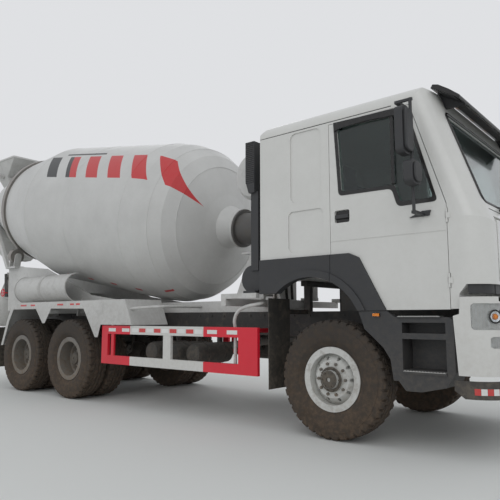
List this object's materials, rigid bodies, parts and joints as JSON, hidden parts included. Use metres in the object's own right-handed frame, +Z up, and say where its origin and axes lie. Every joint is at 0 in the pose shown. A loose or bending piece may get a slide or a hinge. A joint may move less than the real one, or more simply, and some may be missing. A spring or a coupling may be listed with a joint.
{
  "type": "concrete mixer truck",
  "caption": "Three-axle concrete mixer truck with a white tilting cab, a tilted pear-shaped drum on a frame, a hopper and a swinging discharge chute.",
  "frame": {"origin": "middle of the truck's box on the ground", "axes": "+X forward along the truck, +Y to its left, +Z up from the ground"},
  "size_m": [10.4792, 3, 4.33],
  "materials": {
    "paint_white": "satin, dusty",
    "drum_paint": "satin, dusty",
    "paint_red": "gloss",
    "dark_plastic": "grained",
    "frame_paint": "dusty",
    "cast_parts": "painted grey",
    "tyre": "muddy",
    "rim_paint": "dusty",
    "rim_worn": "dusty",
    "track_steel": "worn",
    "window_glass": "clear",
    "lamp_lens": "clear",
    "cabin_trim": "grained",
    "flap_rubber": "dull"
  },
  "bodies": {
    "chassis": {"frame": "frame_paint", "subframe": "paint_white", "drum_supports": "paint_white", "drum_drive": "cast_parts", "axles": "frame_paint", "springs": "frame_paint", "driveline": "cast_parts", "tanks": "frame_paint", "side_guards": "paint_white", "guard_ends": "paint_red", "mudguards": "paint_white", "mud_flaps": "flap_rubber", "steps": "dark_plastic", "bumper": "paint_white", "lamps": "lamp_lens", "front_bar": "frame_paint", "water_tank": "paint_white", "air_intake": "dark_plastic", "spare_chutes": "paint_white", "hopper": "paint_white", "ladder": "paint_white"},
    "drum": {"drum": "drum_paint", "drum_track": "track_steel"},
    "roller_left": {"roller_left": "track_steel"},
    "roller_right": {"roller_right": "track_steel"},
    "cab": {"cab_shell": "paint_white", "cab_trim": "dark_plastic", "windscreen": "window_glass", "cab_interior": "cabin_trim"},
    "front_panel": {"front_panel": "paint_white"},
    "door_left": {"door_left": "paint_white", "door_glass_left": "window_glass", "door_trim_left": "dark_plastic"},
    "door_right": {"door_right": "paint_white", "door_glass_right": "window_glass", "door_trim_right": "dark_plastic"},
    "chute_swivel": {"chute_swivel": "frame_paint"},
    "chute": {"chute": "paint_white"},
    "knuckle_left": {"knuckle_left": "frame_paint"},
    "knuckle_right": {"knuckle_right": "frame_paint"},
    "tie_rod": {"tie_rod": "frame_paint"},
    "front_wheel_left": {"front_tyre_left": "tyre", "front_rim_left": "rim_paint"},
    "front_wheel_right": {"front_tyre_right": "tyre", "front_rim_right": "rim_paint"},
    "rear_wheels_1_left": {"rear_tyres_1_left": "tyre", "rear_rims_1_left": "rim_worn"},
    "rear_wheels_1_right": {"rear_tyres_1_right": "tyre", "rear_rims_1_right": "rim_worn"},
    "rear_wheels_2_left": {"rear_tyres_2_left": "tyre", "rear_rims_2_left": "rim_worn"},
    "rear_wheels_2_right": {"rear_tyres_2_right": "tyre", "rear_rims_2_right": "rim_worn"}
  },
  "joints": [
    {"name": "steer_left", "type": "hinge", "parent": "chassis", "child": "knuckle_left", "pos_m": [3.69, 0.86, 0.5625], "axis": [0, 0, 1], "range_deg": [-35, 35]},
    {"name": "front_wheel_left_spin", "type": "hinge", "parent": "knuckle_left", "child": "front_wheel_left", "pos_m": [3.69, 1.011, 0.5625], "axis": [0, 1, 0], "continuous": true},
    {"name": "rear_wheels_1_left_spin", "type": "hinge", "parent": "chassis", "child": "rear_wheels_1_left", "pos_m": [-0.635, 0.915, 0.5625], "axis": [0, 1, 0], "continuous": true},
    {"name": "rear_wheels_2_left_spin", "type": "hinge", "parent": "chassis", "child": "rear_wheels_2_left", "pos_m": [-1.985, 0.915, 0.5625], "axis": [0, 1, 0], "continuous": true},
    {"name": "steer_right", "type": "hinge", "parent": "chassis", "child": "knuckle_right", "pos_m": [3.69, -0.86, 0.5625], "axis": [0, 0, 1], "range_deg": [-35, 35]},
    {"name": "front_wheel_right_spin", "type": "hinge", "parent": "knuckle_right", "child": "front_wheel_right", "pos_m": [3.69, -1.011, 0.5625], "axis": [0, 1, 0], "continuous": true},
    {"name": "rear_wheels_1_right_spin", "type": "hinge", "parent": "chassis", "child": "rear_wheels_1_right", "pos_m": [-0.635, -0.915, 0.5625], "axis": [0, 1, 0], "continuous": true},
    {"name": "rear_wheels_2_right_spin", "type": "hinge", "parent": "chassis", "child": "rear_wheels_2_right", "pos_m": [-1.985, -0.915, 0.5625], "axis": [0, 1, 0], "continuous": true},
    {"name": "tie_rod_turn", "type": "hinge", "parent": "knuckle_left", "child": "tie_rod", "pos_m": [3.44, 0.86, 0.44], "axis": [0, 0, 1], "range_deg": [-35, 35]},
    {"name": "drum_spin", "type": "hinge", "parent": "chassis", "child": "drum", "pos_m": [1.191, 0, 2.442], "axis": [-0.9854, 0, 0.1702], "continuous": true},
    {"name": "roller_left_spin", "type": "hinge", "parent": "chassis", "child": "roller_left", "pos_m": [-3.49269, 0.61299, 2.29311], "axis": [-0.9854, 0, 0.1702], "continuous": true},
    {"name": "roller_right_spin", "type": "hinge", "parent": "chassis", "child": "roller_right", "pos_m": [-3.49269, -0.61299, 2.29311], "axis": [-0.9854, 0, 0.1702], "continuous": true},
    {"name": "cab_tilt", "type": "hinge", "parent": "chassis", "child": "cab", "pos_m": [5.05, 0, 1.3], "axis": [0, 1, 0], "range_deg": [0, 50]},
    {"name": "front_panel_lift", "type": "hinge", "parent": "cab", "child": "front_panel", "pos_m": [5.17, 0, 1.978], "axis": [0, -1, 0], "range_deg": [0, 75]},
    {"name": "door_left_swing", "type": "hinge", "parent": "cab", "child": "door_left", "pos_m": [4.855, 1.152, 1.725], "axis": [0, 0, -1], "range_deg": [0, 70]},
    {"name": "door_right_swing", "type": "hinge", "parent": "cab", "child": "door_right", "pos_m": [4.855, -1.152, 1.725], "axis": [0, 0, 1], "range_deg": [0, 70]},
    {"name": "chute_swing", "type": "hinge", "parent": "chassis", "child": "chute_swivel", "pos_m": [-4.44, 0, 1.5], "axis": [0, 0, 1], "range_deg": [-90, 90]},
    {"name": "chute_tilt", "type": "hinge", "parent": "chute_swivel", "child": "chute", "pos_m": [-4.5, 0, 2], "axis": [0, 1, 0], "range_deg": [0, 35]}
  ],
  "couplings": [
    {"joint": "steer_right", "follows": "steer_left", "ratio": 1},
    {"joint": "tie_rod_turn", "follows": "steer_left", "ratio": -1},
    {"joint": "roller_left_spin", "follows": "drum_spin", "ratio": -7.6538},
    {"joint": "roller_right_spin", "follows": "drum_spin", "ratio": -7.6538}
  ]
}
